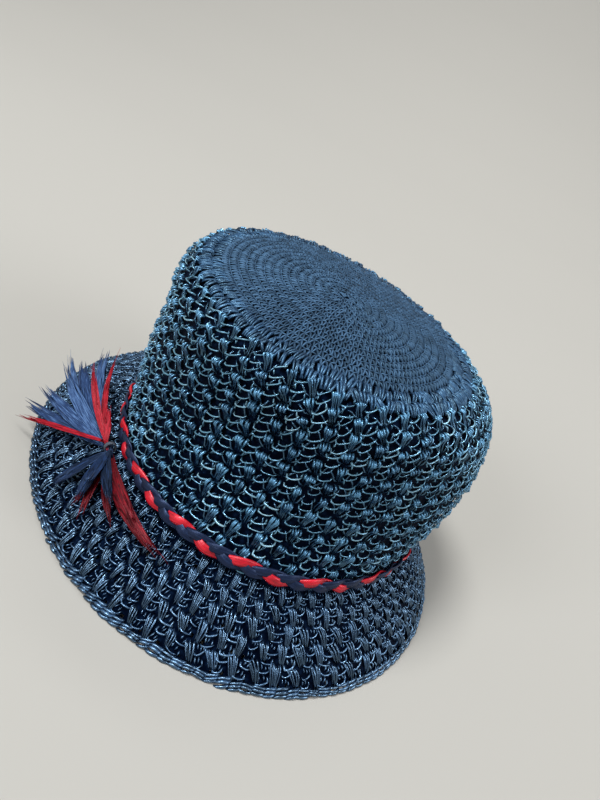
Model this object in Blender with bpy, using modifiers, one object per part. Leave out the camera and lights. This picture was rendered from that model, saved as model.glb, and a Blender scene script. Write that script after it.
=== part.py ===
"""Crocheted raffia sailor hat with a plaited band and a ribbon tassel.

The hat is worked in one spiral from the middle of its top, down the side and
out over the brim. A three-strand plait lies round the foot of the crown, and
a two-ended tassel of flat ribbons is tied to it at the front left.

Metres, +Z up. The origin is on the table, under the middle of the rim, and
the front of the hat faces -Y. Angles are seen from above, counted from +X.
"""
import math

import bmesh
import bpy
from mathutils import Vector

MM = 0.001

# Crochet wall, and the clearance that two pieces which touch keep
WALL = 2.6 * MM
CLEARANCE = 0.3 * MM
STEPS_AROUND = 56

# Crown: outer sizes, from its foot on the brim to the middle of its top
CROWN_RADIUS = 92.0 * MM
CROWN_HEIGHT = 106.8 * MM
SIDE_BULGE = 1.5 * MM
SHOULDER_WIDTH = 19.0 * MM
SHOULDER_HEIGHT = 26.0 * MM
DOME_RISE = 6.6 * MM
FOOT_LEAD = 1.5 * MM
SIDE_RINGS = 5
SHOULDER_RINGS = 4
DOME_RINGS = 3

# Brim: it starts under the crown's foot and ends flat on the table
BRIM_HEIGHT = 36.0 * MM
RIM_RADIUS = 131.5 * MM
BRIM_BELL = 2.5 * MM
BRIM_LEAD = 1.0 * MM
BRIM_ROOT = BRIM_HEIGHT - CLEARANCE
BRIM_OVERRUN = 2.0 * WALL / BRIM_HEIGHT
BRIM_RINGS = 5
RIM_OVAL = 0.061
RIM_LONG_AXIS = 125.0
CROWN_FOOT_X = 10.2 * MM
CROWN_FOOT_Y = -3.6 * MM

# How the soft crown stands: its ovals and how far it leans at three levels.
# Oval and lean are shares of CROWN_RADIUS, and the long axis is in degrees.
CROWN_STANCE = {
    #          oval   long axis  lean x  lean y
    "foot":   (0.043, 104.0,      0.000,  0.000),
    "middle": (0.055,  22.0,      0.088,  0.085),
    "top":    (0.056, 116.5,     -0.060, -0.023),
}

# Dents (inwards) and bulges (outwards) of the crown. Angle and width are in
# degrees, level and height are shares of the way up, depth is a share of WALL.
CROWN_DENTS = (
    # angle  level  width  height  depth
    (62.0,   0.97,  22.0,  0.22,  -1.40),
    (187.0,  0.42,  24.0,  0.20,   0.60),
    (187.0,  0.72,  22.0,  0.14,  -0.80),
)

# Plaited band: three flat strands round the crown's foot. The swing and the
# depth of the weave follow from the room that the strands need to pass.
STRAND_WIDTH = 2.7 * MM
STRAND_THICKNESS = 1.0 * MM
PLAIT_PERIODS = 17
POINTS_PER_PERIOD = 12
BAND_LIFT = 0.1 * MM
BAND_SEAT = 0.5 * MM
PASSING_WIDTH = 1.18
PASSING_DEPTH = 1.73
SLANT = 1.26
PLAIT_SWING = (SLANT * STRAND_WIDTH + CLEARANCE) / PASSING_WIDTH
PLAIT_DEPTH = (SLANT * STRAND_THICKNESS + CLEARANCE) / PASSING_DEPTH

# Tassel: a tied waist on the brim's root, with ribbons that leave it both ways
TASSEL_ANGLE = 220.0
TASSEL_SPREAD = 26.0 * MM
TASSEL_GAP = 1.9 * MM
WAIST_LENGTH = 12.0 * MM
WAIST_WIDTH = 5.6 * MM
NAVY_WAIST_THICKNESS = 3.4 * MM
RED_WAIST_THICKNESS = 2.6 * MM
TIE_WIRE = 0.6 * MM
RIBBON_THICKNESS = 0.9 * MM
RIBBON_WIDTH = 5.8 * MM
RIBBON_STATIONS = 3
RIBBON_LIFT_POWER = 1.3
ROOT_SHARE = 0.15
ROOT_STAGGER = 0.20

# Width of a ribbon along its way, as shares of its own full width
RIBBON_TAPER = {
    "root": 0.40,
    "mouth": 0.50,
    "middle": 0.95,
    "tip": 0.40,
}

# Ribbon tips over the brim. Around is in degrees from the tassel, down is the
# share of the way from the brim's root to the rim, above is the height over
# the brim as a share of TASSEL_SPREAD, and width is a share of RIBBON_WIDTH.
NAVY_RIBBONS = (
    # around  down   above  width
    (-25.0,    0.98,  0.56,  1.25),
    (-28.0,    0.80,  0.68,  1.35),
    (-33.0,    0.62,  0.80,  1.30),
    (-42.0,    0.72,  0.78,  1.10),
    (-38.0,    0.52,  0.80,  1.30),
    (-43.0,    0.38,  0.72,  1.10),
    (-41.0,    0.30,  0.82,  0.80),
    (5.0,      0.80,  0.12,  1.20),
    (16.0,     0.57,  0.10,  1.10),
    (13.0,     0.42,  0.16,  1.20),
    (22.0,     0.32,  0.12,  1.10),
)
RED_RIBBONS = (
    # around  down   above  width
    (-20.0,    0.96,  0.72,  0.90),
    (-27.0,    0.25,  0.96,  1.10),
    (-38.0,    0.15,  0.84,  1.00),
    (-11.0,    0.06,  0.60,  0.70),
    (15.0,     0.62,  0.30,  0.90),
    (19.0,     0.62,  0.28,  0.90),
    (21.0,     0.34,  0.30,  1.00),
    (30.0,     0.26,  0.26,  1.30),
    (41.0,     0.32,  0.22,  1.20),
)

# Driving colours: sRGB-like base colours of the raffia
NAVY = (0.018, 0.040, 0.085, 1.0)
TOP_NAVY = (0.030, 0.062, 0.110, 1.0)
RED = (0.560, 0.012, 0.030, 1.0)
PALE_GREY = (0.520, 0.560, 0.600, 1.0)


def clear_scene():
    for item in list(bpy.data.objects):
        bpy.data.objects.remove(item, do_unlink=True)


def new_collection(name):
    collection = bpy.data.collections.new(name)
    bpy.context.scene.collection.children.link(collection)
    return collection


def raffia(name, color, roughness):
    material = bpy.data.materials.new(name)
    material.use_nodes = True
    shader = material.node_tree.nodes["Principled BSDF"]
    shader.inputs["Base Color"].default_value = color
    shader.inputs["Roughness"].default_value = roughness
    shader.inputs["Metallic"].default_value = 0.0
    return material


def new_object(name, mesh, collection, material=None):
    item = bpy.data.objects.new(name, mesh)
    collection.objects.link(item)
    if material:
        mesh.materials.append(material)
    return item


def evaluated_mesh(item):
    depsgraph = bpy.context.evaluated_depsgraph_get()
    return bpy.data.meshes.new_from_object(item.evaluated_get(depsgraph))


def between(start, end, share):
    return start + (end - start) * share


def oval_share(oval, long_axis, angle):
    return oval * math.cos(2.0 * (angle - math.radians(long_axis)))


def crown_profile():
    """Outer half section (radius, height over the foot), from the top's middle down."""
    end_angle = math.pi / 2.0
    for _ in range(20):
        dome_radius = CROWN_RADIUS - SHOULDER_WIDTH * (1.0 - math.cos(end_angle))
        dome_slope = 2.0 * DOME_RISE / dome_radius
        end_angle = math.atan2(SHOULDER_HEIGHT, SHOULDER_WIDTH * dome_slope)
    dome_foot = CROWN_HEIGHT - DOME_RISE
    side_top = dome_foot - SHOULDER_HEIGHT * math.sin(end_angle)
    points = []
    for i in range(DOME_RINGS):
        share = i / DOME_RINGS
        points.append((dome_radius * share, CROWN_HEIGHT - DOME_RISE * share * share))
    for i in range(SHOULDER_RINGS):
        angle = end_angle * (1.0 - i / SHOULDER_RINGS)
        radius = CROWN_RADIUS - SHOULDER_WIDTH * (1.0 - math.cos(angle))
        points.append((radius, side_top + SHOULDER_HEIGHT * math.sin(angle)))
    for i in range(SIDE_RINGS + 1):
        share = i / SIDE_RINGS
        radius = CROWN_RADIUS + SIDE_BULGE * math.sin(math.pi * share)
        points.append((radius, between(side_top, FOOT_LEAD, share)))
    points.append((CROWN_RADIUS, 0.0))
    return points, dome_foot


CROWN_POINTS, DOME_FOOT = crown_profile()


def stance(level):
    """Oval (two components) and lean of the crown at a share of its height."""
    weights = {
        "foot": (1.0 - level) ** 2,
        "middle": 4.0 * level * (1.0 - level),
        "top": level * level,
    }
    oval_cos = oval_sin = lean_x = lean_y = 0.0
    for name, (oval, long_axis, row_lean_x, row_lean_y) in CROWN_STANCE.items():
        weight = weights[name]
        oval_cos += weight * oval * math.cos(math.radians(2.0 * long_axis))
        oval_sin += weight * oval * math.sin(math.radians(2.0 * long_axis))
        lean_x += weight * row_lean_x
        lean_y += weight * row_lean_y
    return oval_cos, oval_sin, lean_x * CROWN_RADIUS, lean_y * CROWN_RADIUS


def crown_point(radius, height, angle):
    """Where a point of the turned crown lies once the soft crown has its stance."""
    level = min(max((height - FOOT_LEAD) / (DOME_FOOT - FOOT_LEAD), 0.0), 1.0)
    oval_cos, oval_sin, lean_x, lean_y = stance(level)
    oval = oval_cos * math.cos(2.0 * angle) + oval_sin * math.sin(2.0 * angle)
    worn = radius * (1.0 + oval)
    for dent_angle, dent_level, width, dent_height, depth in CROWN_DENTS:
        off = (math.degrees(angle) - dent_angle + 180.0) % 360.0 - 180.0
        shape = math.exp(-((off / width) ** 2) - ((level - dent_level) / dent_height) ** 2)
        worn += depth * WALL * shape * radius / CROWN_RADIUS
    return Vector((
        CROWN_FOOT_X + lean_x + worn * math.cos(angle),
        CROWN_FOOT_Y + lean_y + worn * math.sin(angle),
        BRIM_HEIGHT + height,
    ))


def plait_thickness():
    return 2.0 * PLAIT_DEPTH + STRAND_THICKNESS


def side_radius(height):
    """Radius of the turned crown's side at a height over its foot."""
    for (upper_radius, upper), (lower_radius, lower) in zip(CROWN_POINTS, CROWN_POINTS[1:]):
        if lower <= height <= upper:
            return between(lower_radius, upper_radius, (height - lower) / (upper - lower))
    return CROWN_RADIUS


def brim_point(down, angle):
    """Outer face of the brim, at a share of the way from its root to the rim."""
    oval_cos, oval_sin, _, _ = stance(0.0)
    root_oval = oval_cos * math.cos(2.0 * angle) + oval_sin * math.sin(2.0 * angle)
    root = CROWN_RADIUS * (1.0 + root_oval)
    rim = RIM_RADIUS * (1.0 + oval_share(RIM_OVAL, RIM_LONG_AXIS, angle))
    radius = between(root, rim, down)
    return Vector((
        CROWN_FOOT_X * (1.0 - down) + radius * math.cos(angle),
        CROWN_FOOT_Y * (1.0 - down) + radius * math.sin(angle),
        (BRIM_ROOT - BRIM_LEAD) * (1.0 - down) + BRIM_BELL * 4.0 * down * (1.0 - down),
    ))


def surface_frame(point_at, u, angle):
    """Point and outward normal of a surface given as point_at(u, angle)."""
    step = 0.001
    point = point_at(u, angle)
    down = point_at(u + step, angle) - point
    around = point_at(u, angle + step) - point
    return point, down.cross(around).normalized()


def over_brim(down, angle, above):
    point, normal = surface_frame(brim_point, down, angle)
    return point + normal * above


def turned_mesh(name, profile, collection):
    """Turn a half section about Z, from its top point down its outer side."""
    mesh = bpy.data.meshes.new(name)
    edges = [(i, i + 1) for i in range(len(profile) - 1)]
    mesh.from_pydata([(radius, 0.0, height) for radius, height in profile], edges, [])
    guide = new_object(name, mesh, collection)
    screw = guide.modifiers.new("turn", "SCREW")
    screw.steps = STEPS_AROUND
    screw.render_steps = STEPS_AROUND
    screw.use_merge_vertices = True
    screw.merge_threshold = 0.0001
    turned = evaluated_mesh(guide)
    bpy.data.objects.remove(guide)
    return turned


def make_wall(name, mesh, collection, material):
    """Give an open crochet surface its thickness, inwards from the outer face."""
    mesh.shade_smooth()
    wall = new_object(name, mesh, collection, material)
    solidify = wall.modifiers.new("wall", "SOLIDIFY")
    solidify.thickness = WALL
    solidify.offset = -1.0
    solidify.use_even_offset = True
    return wall


def make_crown(parts, cutters, material):
    mesh = turned_mesh("crown", CROWN_POINTS, cutters)
    for vertex in mesh.vertices:
        radius = math.hypot(vertex.co.x, vertex.co.y)
        angle = math.atan2(vertex.co.y, vertex.co.x)
        vertex.co = crown_point(radius, vertex.co.z, angle)
    return make_wall("crown", mesh, parts, material)


def make_brim(parts, cutters, material):
    """The brim is turned as a cone, laid on its two ovals and cut flat below."""
    shares = [i / BRIM_RINGS for i in range(BRIM_RINGS + 1)]
    shares.append(1.0 + BRIM_OVERRUN)
    profile = [(CROWN_RADIUS, BRIM_LEAD)]
    profile += [(between(CROWN_RADIUS, RIM_RADIUS, share), -BRIM_HEIGHT * share) for share in shares]
    mesh = turned_mesh("brim", profile, cutters)
    for vertex in mesh.vertices:
        angle = math.atan2(vertex.co.y, vertex.co.x)
        lead = max(vertex.co.z, 0.0)
        down = max(-vertex.co.z / BRIM_HEIGHT, 0.0)
        vertex.co = brim_point(down, angle) + Vector((0.0, 0.0, lead))
    brim = make_wall("brim", mesh, parts, material)
    bm = bmesh.new()
    bmesh.ops.create_cube(bm, size=1.0)
    reach = 4.0 * RIM_RADIUS
    for vertex in bm.verts:
        x, y, z = vertex.co
        vertex.co = (x * reach, y * reach, (z - 0.5) * BRIM_HEIGHT)
    table_mesh = bpy.data.meshes.new("table_cutter")
    bm.to_mesh(table_mesh)
    bm.free()
    table = new_object("table_cutter", table_mesh, cutters)
    table.hide_render = True
    table.display_type = "WIRE"
    trim = brim.modifiers.new("flat_rim", "BOOLEAN")
    trim.operation = "DIFFERENCE"
    trim.solver = "EXACT"
    trim.object = table
    return brim


def strand_section(cutters):
    """Flat section of a plait strand with thin edges, as a closed curve."""
    half_width = STRAND_WIDTH / 2.0
    half_thickness = STRAND_THICKNESS / 2.0
    outline = (
        (0.0, -half_width),
        (-half_thickness, 0.0),
        (0.0, half_width),
        (half_thickness, 0.0),
    )
    curve = bpy.data.curves.new("strand_section", "CURVE")
    spline = curve.splines.new("POLY")
    spline.points.add(len(outline) - 1)
    for point, (x, y) in zip(spline.points, outline):
        point.co = (x, y, 0.0, 1.0)
    spline.use_cyclic_u = True
    section = bpy.data.objects.new("strand_section", curve)
    section.hide_render = True
    section.display_type = "WIRE"
    cutters.objects.link(section)
    return section


def side_point(height, angle):
    return crown_point(side_radius(height), height, angle)


def make_strand(name, phase, section, parts, material):
    """One strand: it swings up and down the band and weaves in and out of it."""
    middle_height = BAND_LIFT + STRAND_WIDTH / 2.0 + PLAIT_SWING
    seat = BAND_SEAT + STRAND_THICKNESS / 2.0 + PLAIT_DEPTH
    count = PLAIT_PERIODS * POINTS_PER_PERIOD
    curve = bpy.data.curves.new(name, "CURVE")
    curve.dimensions = "3D"
    curve.twist_mode = "Z_UP"
    curve.bevel_mode = "OBJECT"
    curve.bevel_object = section
    spline = curve.splines.new("POLY")
    spline.points.add(count - 1)
    spline.use_cyclic_u = True
    for i, point in enumerate(spline.points):
        angle = 2.0 * math.pi * i / count
        turn = 2.0 * math.pi * i / POINTS_PER_PERIOD + phase
        height = middle_height + PLAIT_SWING * math.sin(turn)
        surface, normal = surface_frame(lambda u, a: side_point(-u, a), -height, angle)
        place = surface + normal * (seat + PLAIT_DEPTH * math.sin(2.0 * turn))
        point.co = (place.x, place.y, place.z, 1.0)
        point.tilt = -math.asin(normal.z)
    strand = bpy.data.objects.new(name, curve)
    curve.materials.append(material)
    parts.objects.link(strand)
    return strand


def tassel_layout():
    """Heights of the tie's middle and of both waists over the brim, and the tie's radius."""
    stack = NAVY_WAIST_THICKNESS + CLEARANCE + RED_WAIST_THICKNESS
    corner = math.hypot(WAIST_WIDTH, stack - RED_WAIST_THICKNESS) / 2.0
    tie_radius = max(corner, stack / 2.0) + CLEARANCE + TIE_WIRE
    tie_above = CLEARANCE + TIE_WIRE + tie_radius
    navy_above = tie_above - (stack - NAVY_WAIST_THICKNESS) / 2.0
    red_above = tie_above + (stack - RED_WAIST_THICKNESS) / 2.0
    return tie_above, tie_radius, navy_above, red_above


def tassel_seat():
    """Share of the way down the brim at which the tassel clears the plait."""
    room = BAND_SEAT + plait_thickness() + TASSEL_GAP
    return room / (RIM_RADIUS - CROWN_RADIUS)


def ribbon_path(tip, seat_above, layer):
    """Middle line of a tassel ribbon: out of the waist, then over the brim to its tip.

    The layer is the ribbon's place in the pile, from -0.5 to 0.5. It keeps the
    ribbons that share the waist from lying in one plane.
    """
    around, down, above, _ = tip
    start_angle = math.radians(TASSEL_ANGLE)
    side = 1.0 if around >= 0.0 else -1.0
    waist_angle = WAIST_LENGTH / CROWN_RADIUS
    mouth_angle = side * 0.5 * waist_angle
    seat = tassel_seat()
    seat_above += layer * RIBBON_THICKNESS
    inner_angle = start_angle - side * waist_angle * (ROOT_SHARE + ROOT_STAGGER * layer)
    path = [over_brim(seat, inner_angle, seat_above)]
    for i in range(RIBBON_STATIONS + 1):
        share = i / RIBBON_STATIONS
        angle = start_angle + between(mouth_angle, math.radians(around), share)
        reach = between(seat, down, share)
        lift = between(seat_above, above * TASSEL_SPREAD, share ** RIBBON_LIFT_POWER)
        path.append(over_brim(reach, angle, lift))
    return path


def ribbon_mesh(name, tip, seat_above, layer):
    """A flat ribbon lofted along its path, narrow at the waist and at its cut tip."""
    path = ribbon_path(tip, seat_above, layer)
    middles = [RIBBON_TAPER["middle"]] * (len(path) - 3)
    taper = [RIBBON_TAPER["root"], RIBBON_TAPER["mouth"]] + middles + [RIBBON_TAPER["tip"]]
    brim_normal = surface_frame(brim_point, tassel_seat(), math.radians(TASSEL_ANGLE))[1]
    bm = bmesh.new()
    rings = []
    for i, place in enumerate(path):
        ahead = path[min(i + 1, len(path) - 1)] - path[max(i - 1, 0)]
        across = ahead.cross(brim_normal).normalized()
        up = across.cross(ahead).normalized()
        half_width = RIBBON_WIDTH * tip[3] * taper[i] / 2.0
        half_thickness = RIBBON_THICKNESS / 2.0
        corners = ((-1, -1), (1, -1), (1, 1), (-1, 1))
        rings.append([
            bm.verts.new(place + across * half_width * a + up * half_thickness * b)
            for a, b in corners
        ])
    for lower, upper in zip(rings, rings[1:]):
        for k in range(4):
            j = (k + 1) % 4
            bm.faces.new((lower[k], lower[j], upper[j], upper[k]))
    bm.faces.new(rings[0][::-1])
    bm.faces.new(rings[-1])
    bmesh.ops.recalc_face_normals(bm, faces=bm.faces)
    mesh = bpy.data.meshes.new(name)
    bm.to_mesh(mesh)
    bm.free()
    return mesh


def waist_mesh(name, thickness, seat_above):
    """The waist that the ribbons of one colour are gathered in."""
    angle = math.radians(TASSEL_ANGLE)
    centre = over_brim(tassel_seat(), angle, seat_above)
    normal = surface_frame(brim_point, tassel_seat(), angle)[1]
    along = Vector((-math.sin(angle), math.cos(angle), 0.0))
    across = normal.cross(along).normalized()
    bm = bmesh.new()
    bmesh.ops.create_uvsphere(bm, u_segments=8, v_segments=6, radius=0.5)
    for vertex in bm.verts:
        x, y, z = vertex.co
        vertex.co = centre + along * z * WAIST_LENGTH + across * x * WAIST_WIDTH + normal * y * thickness
    bmesh.ops.recalc_face_normals(bm, faces=bm.faces)
    mesh = bpy.data.meshes.new(name)
    bm.to_mesh(mesh)
    bm.free()
    return mesh


def make_tassel(name, tips, thickness, seat_above, parts, cutters, material):
    """Fuse the ribbons of one colour to their waist, so that the tassel is one body."""
    tassel = new_object(name, waist_mesh(name, thickness, seat_above), parts, material)
    for i, tip in enumerate(tips):
        layer = i / (len(tips) - 1) - 0.5
        mesh = ribbon_mesh("ribbon_guide", tip, seat_above, layer)
        ribbon = new_object("ribbon_guide", mesh, cutters)
        union = tassel.modifiers.new("fuse", "BOOLEAN")
        union.operation = "UNION"
        union.solver = "EXACT"
        union.object = ribbon
        fused = evaluated_mesh(tassel)
        tassel.modifiers.remove(union)
        old = tassel.data
        tassel.data = fused
        bpy.data.meshes.remove(old)
        bpy.data.objects.remove(ribbon)
    return tassel


def make_tie(tie_above, tie_radius, parts, material):
    """A thread ring round both waists, square to the plait."""
    angle = math.radians(TASSEL_ANGLE)
    centre = over_brim(tassel_seat(), angle, tie_above)
    normal = surface_frame(brim_point, tassel_seat(), angle)[1]
    along = Vector((-math.sin(angle), math.cos(angle), 0.0))
    across = normal.cross(along).normalized()
    bpy.ops.mesh.primitive_torus_add(
        major_segments=18, minor_segments=5, major_radius=tie_radius, minor_radius=TIE_WIRE
    )
    tie = bpy.context.object
    tie.name = "tassel_tie"
    for vertex in tie.data.vertices:
        x, y, z = vertex.co
        vertex.co = centre + across * x + normal * y + along * z
    tie.data.shade_smooth()
    tie.data.materials.append(material)
    for owner in list(tie.users_collection):
        owner.objects.unlink(tie)
    parts.objects.link(tie)
    return tie


def main():
    clear_scene()
    parts = new_collection("sailor_hat")
    cutters = new_collection("sailor_hat_cutters")
    make_crown(parts, cutters, raffia("navy_crochet_crown", TOP_NAVY, 0.5))
    make_brim(parts, cutters, raffia("navy_crochet_brim", NAVY, 0.5))

    section = strand_section(cutters)
    strands = (("band_strand_red", RED), ("band_strand_navy_a", NAVY), ("band_strand_navy_b", NAVY))
    for i, (name, color) in enumerate(strands):
        phase = 2.0 * math.pi * i / len(strands)
        make_strand(name, phase, section, parts, raffia(name + "_raffia", color, 0.4))

    tie_above, tie_radius, navy_above, red_above = tassel_layout()
    make_tassel("tassel_navy", NAVY_RIBBONS, NAVY_WAIST_THICKNESS, navy_above,
                parts, cutters, raffia("navy_ribbon", NAVY, 0.4))
    make_tassel("tassel_red", RED_RIBBONS, RED_WAIST_THICKNESS, red_above,
                parts, cutters, raffia("red_ribbon", RED, 0.4))
    make_tie(tie_above, tie_radius, parts, raffia("tie_thread", PALE_GREY, 0.6))


main()
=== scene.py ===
import math
import random

import bpy
from mathutils import Matrix, Vector


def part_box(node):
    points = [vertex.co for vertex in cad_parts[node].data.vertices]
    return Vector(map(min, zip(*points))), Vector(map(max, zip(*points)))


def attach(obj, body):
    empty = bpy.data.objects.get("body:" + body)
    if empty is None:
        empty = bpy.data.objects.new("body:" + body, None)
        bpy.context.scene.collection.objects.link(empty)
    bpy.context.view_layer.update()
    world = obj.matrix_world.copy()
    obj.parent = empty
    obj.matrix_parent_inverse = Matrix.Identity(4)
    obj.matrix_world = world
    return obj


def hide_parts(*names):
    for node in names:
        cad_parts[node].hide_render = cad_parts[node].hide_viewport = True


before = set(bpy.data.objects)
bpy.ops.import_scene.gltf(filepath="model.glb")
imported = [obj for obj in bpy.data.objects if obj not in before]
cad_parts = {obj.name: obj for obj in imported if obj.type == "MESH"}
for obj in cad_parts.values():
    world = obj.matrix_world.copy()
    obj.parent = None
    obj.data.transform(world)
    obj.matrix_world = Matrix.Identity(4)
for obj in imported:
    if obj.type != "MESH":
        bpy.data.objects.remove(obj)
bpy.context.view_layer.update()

MM = 0.001

# The crown's top: the hat is begun in its middle and worked round and round in plain
# stitches of split viscose raffia, a flat glossy ribbon that crumples into fine pleats.
# The crown's own form is written here first, since every round is laid out on it.
CROWN_RADIUS = 92.0 * MM
CROWN_HEIGHT = 106.8 * MM
SIDE_BULGE = 1.5 * MM
SHOULDER_WIDTH = 19.0 * MM
SHOULDER_HEIGHT = 26.0 * MM
DOME_RISE = 6.6 * MM
FOOT_LEAD = 1.5 * MM
WALL = 2.6 * MM
BRIM_HEIGHT = 36.0 * MM
CROWN_FOOT_X = 10.2 * MM
CROWN_FOOT_Y = -3.6 * MM
CROWN_STANCE = {
    #          oval   long axis  lean x  lean y
    "foot":   (0.043, 104.0,      0.000,  0.000),
    "middle": (0.055,  22.0,      0.088,  0.085),
    "top":    (0.056, 116.5,     -0.060, -0.023),
}
CROWN_DENTS = (
    # angle  level  width  height  depth
    (62.0,   0.97,  22.0,  0.22,  -1.40),
    (187.0,  0.42,  24.0,  0.20,   0.60),
    (187.0,  0.72,  22.0,  0.14,  -0.80),
)


def between(start, end, share):
    return start + (end - start) * share


def crown_profile(rings=60):
    """Outer half section from the top's middle down: (length along it, radius, height)."""
    end_angle = math.pi / 2.0
    for _ in range(20):
        dome_radius = CROWN_RADIUS - SHOULDER_WIDTH * (1.0 - math.cos(end_angle))
        end_angle = math.atan2(SHOULDER_HEIGHT, SHOULDER_WIDTH * 2.0 * DOME_RISE / dome_radius)
    dome_foot = CROWN_HEIGHT - DOME_RISE
    side_top = dome_foot - SHOULDER_HEIGHT * math.sin(end_angle)
    spots = []
    for i in range(rings):
        share = i / rings
        spots.append((dome_radius * share, CROWN_HEIGHT - DOME_RISE * share * share))
    for i in range(rings):
        angle = end_angle * (1.0 - i / rings)
        radius = CROWN_RADIUS - SHOULDER_WIDTH * (1.0 - math.cos(angle))
        spots.append((radius, side_top + SHOULDER_HEIGHT * math.sin(angle)))
    for i in range(rings + 1):
        share = i / rings
        radius = CROWN_RADIUS + SIDE_BULGE * math.sin(math.pi * share)
        spots.append((radius, between(side_top, 0.0, share)))
    length = 0.0
    profile = [(0.0, *spots[0])]
    for (r0, h0), (r1, h1) in zip(spots, spots[1:]):
        length += math.hypot(r1 - r0, h1 - h0)
        profile.append((length, r1, h1))
    return profile, dome_foot


CROWN_SECTION, DOME_FOOT = crown_profile()
CROWN_LENGTH = CROWN_SECTION[-1][0]


def section_at(length):
    """Radius and height of the crown at a worked length from the top's middle."""
    length = min(max(length, 0.0), CROWN_LENGTH)
    low, high = 0, len(CROWN_SECTION) - 1
    while high - low > 1:
        middle = (low + high) // 2
        if CROWN_SECTION[middle][0] <= length:
            low = middle
        else:
            high = middle
    (l0, r0, h0), (l1, r1, h1) = CROWN_SECTION[low], CROWN_SECTION[high]
    share = (length - l0) / (l1 - l0)
    return between(r0, r1, share), between(h0, h1, share)


def stance(level):
    weights = {
        "foot": (1.0 - level) ** 2,
        "middle": 4.0 * level * (1.0 - level),
        "top": level * level,
    }
    oval_cos = oval_sin = lean_x = lean_y = 0.0
    for name, (oval, long_axis, row_lean_x, row_lean_y) in CROWN_STANCE.items():
        oval_cos += weights[name] * oval * math.cos(math.radians(2.0 * long_axis))
        oval_sin += weights[name] * oval * math.sin(math.radians(2.0 * long_axis))
        lean_x += weights[name] * row_lean_x
        lean_y += weights[name] * row_lean_y
    return oval_cos, oval_sin, lean_x * CROWN_RADIUS, lean_y * CROWN_RADIUS


def crown_place(radius, height, angle):
    level = min(max((height - FOOT_LEAD) / (DOME_FOOT - FOOT_LEAD), 0.0), 1.0)
    oval_cos, oval_sin, lean_x, lean_y = stance(level)
    worn = radius * (1.0 + oval_cos * math.cos(2.0 * angle) + oval_sin * math.sin(2.0 * angle))
    for dent_angle, dent_level, width, dent_height, depth in CROWN_DENTS:
        off = (math.degrees(angle) - dent_angle + 180.0) % 360.0 - 180.0
        shape = math.exp(-((off / width) ** 2) - ((level - dent_level) / dent_height) ** 2)
        worn += depth * WALL * shape * radius / CROWN_RADIUS
    return Vector((
        CROWN_FOOT_X + lean_x + worn * math.cos(angle),
        CROWN_FOOT_Y + lean_y + worn * math.sin(angle),
        BRIM_HEIGHT + height,
    ))


def crown_at(length, angle):
    radius, height = section_at(length)
    return crown_place(radius, height, angle)


def frame_at(surface, length, angle, around_step=0.004, down_step=0.4 * MM):
    """Point, direction out of the work, direction up the work, and metres per radian."""
    point = surface(length, angle)
    down = surface(length + down_step, angle) - surface(length - down_step, angle)
    around = surface(length, angle + around_step) - surface(length, angle - around_step)
    out = down.cross(around).normalized()
    return point, out, -down.normalized(), around.length / (2.0 * around_step)


def linear(hex_color):
    """An sRGB hex colour as linear RGBA."""
    channels = [int(hex_color[i:i + 2], 16) / 255.0 for i in (0, 2, 4)]
    return [c / 12.92 if c <= 0.04045 else ((c + 0.055) / 1.055) ** 2.4 for c in channels] + [1.0]


def add_node(tree, kind, feeds=None, **settings):
    """Add a node with its settings, and set or link its inputs by name or number."""
    node = tree.nodes.new(kind)
    for name, value in settings.items():
        setattr(node, name, value)
    for socket, source in (feeds or {}).items():
        if isinstance(source, bpy.types.NodeSocket):
            tree.links.new(source, node.inputs[socket])
        else:
            node.inputs[socket].default_value = source
    return node


def add_object(name, data):
    """Add an object with this mesh, lamp or lens to the scene."""
    item = bpy.data.objects.new(name, data)
    bpy.context.scene.collection.objects.link(item)
    return item


def bare_material(name):
    """A new material and its empty node tree."""
    material = bpy.data.materials.new(name)
    material.use_nodes = True
    material.node_tree.nodes.clear()
    return material, material.node_tree


# Viscose raffia is a thin film of spun fibres, so its gloss breaks up in fine lines along the ribbon. The
# real lines are finer than can be seen here, so they are drawn 0.6 mm apart, as bumps and as paler lines
# in the colour that are partly the film's own streaks and partly painted sheen. The film is dyed through,
# so what it mirrors is tinted too. Its UV map counts centimetres.
FIBRE_LINES_PER_CM = 16.0
FIBRE_RUN_PER_CM = 1.2
FILM_IOR = 2.1
FILM_TINT = "92c6e8"
# Along each ribbon, from 0.45 to 0.95 cm, the colour goes from painted shade at the foot to painted light
# further out.
PAINTED_LIGHT_START_CM = 0.45
PAINTED_LIGHT_END_CM = 0.95
FOOT_SHADE = 0.4


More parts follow.
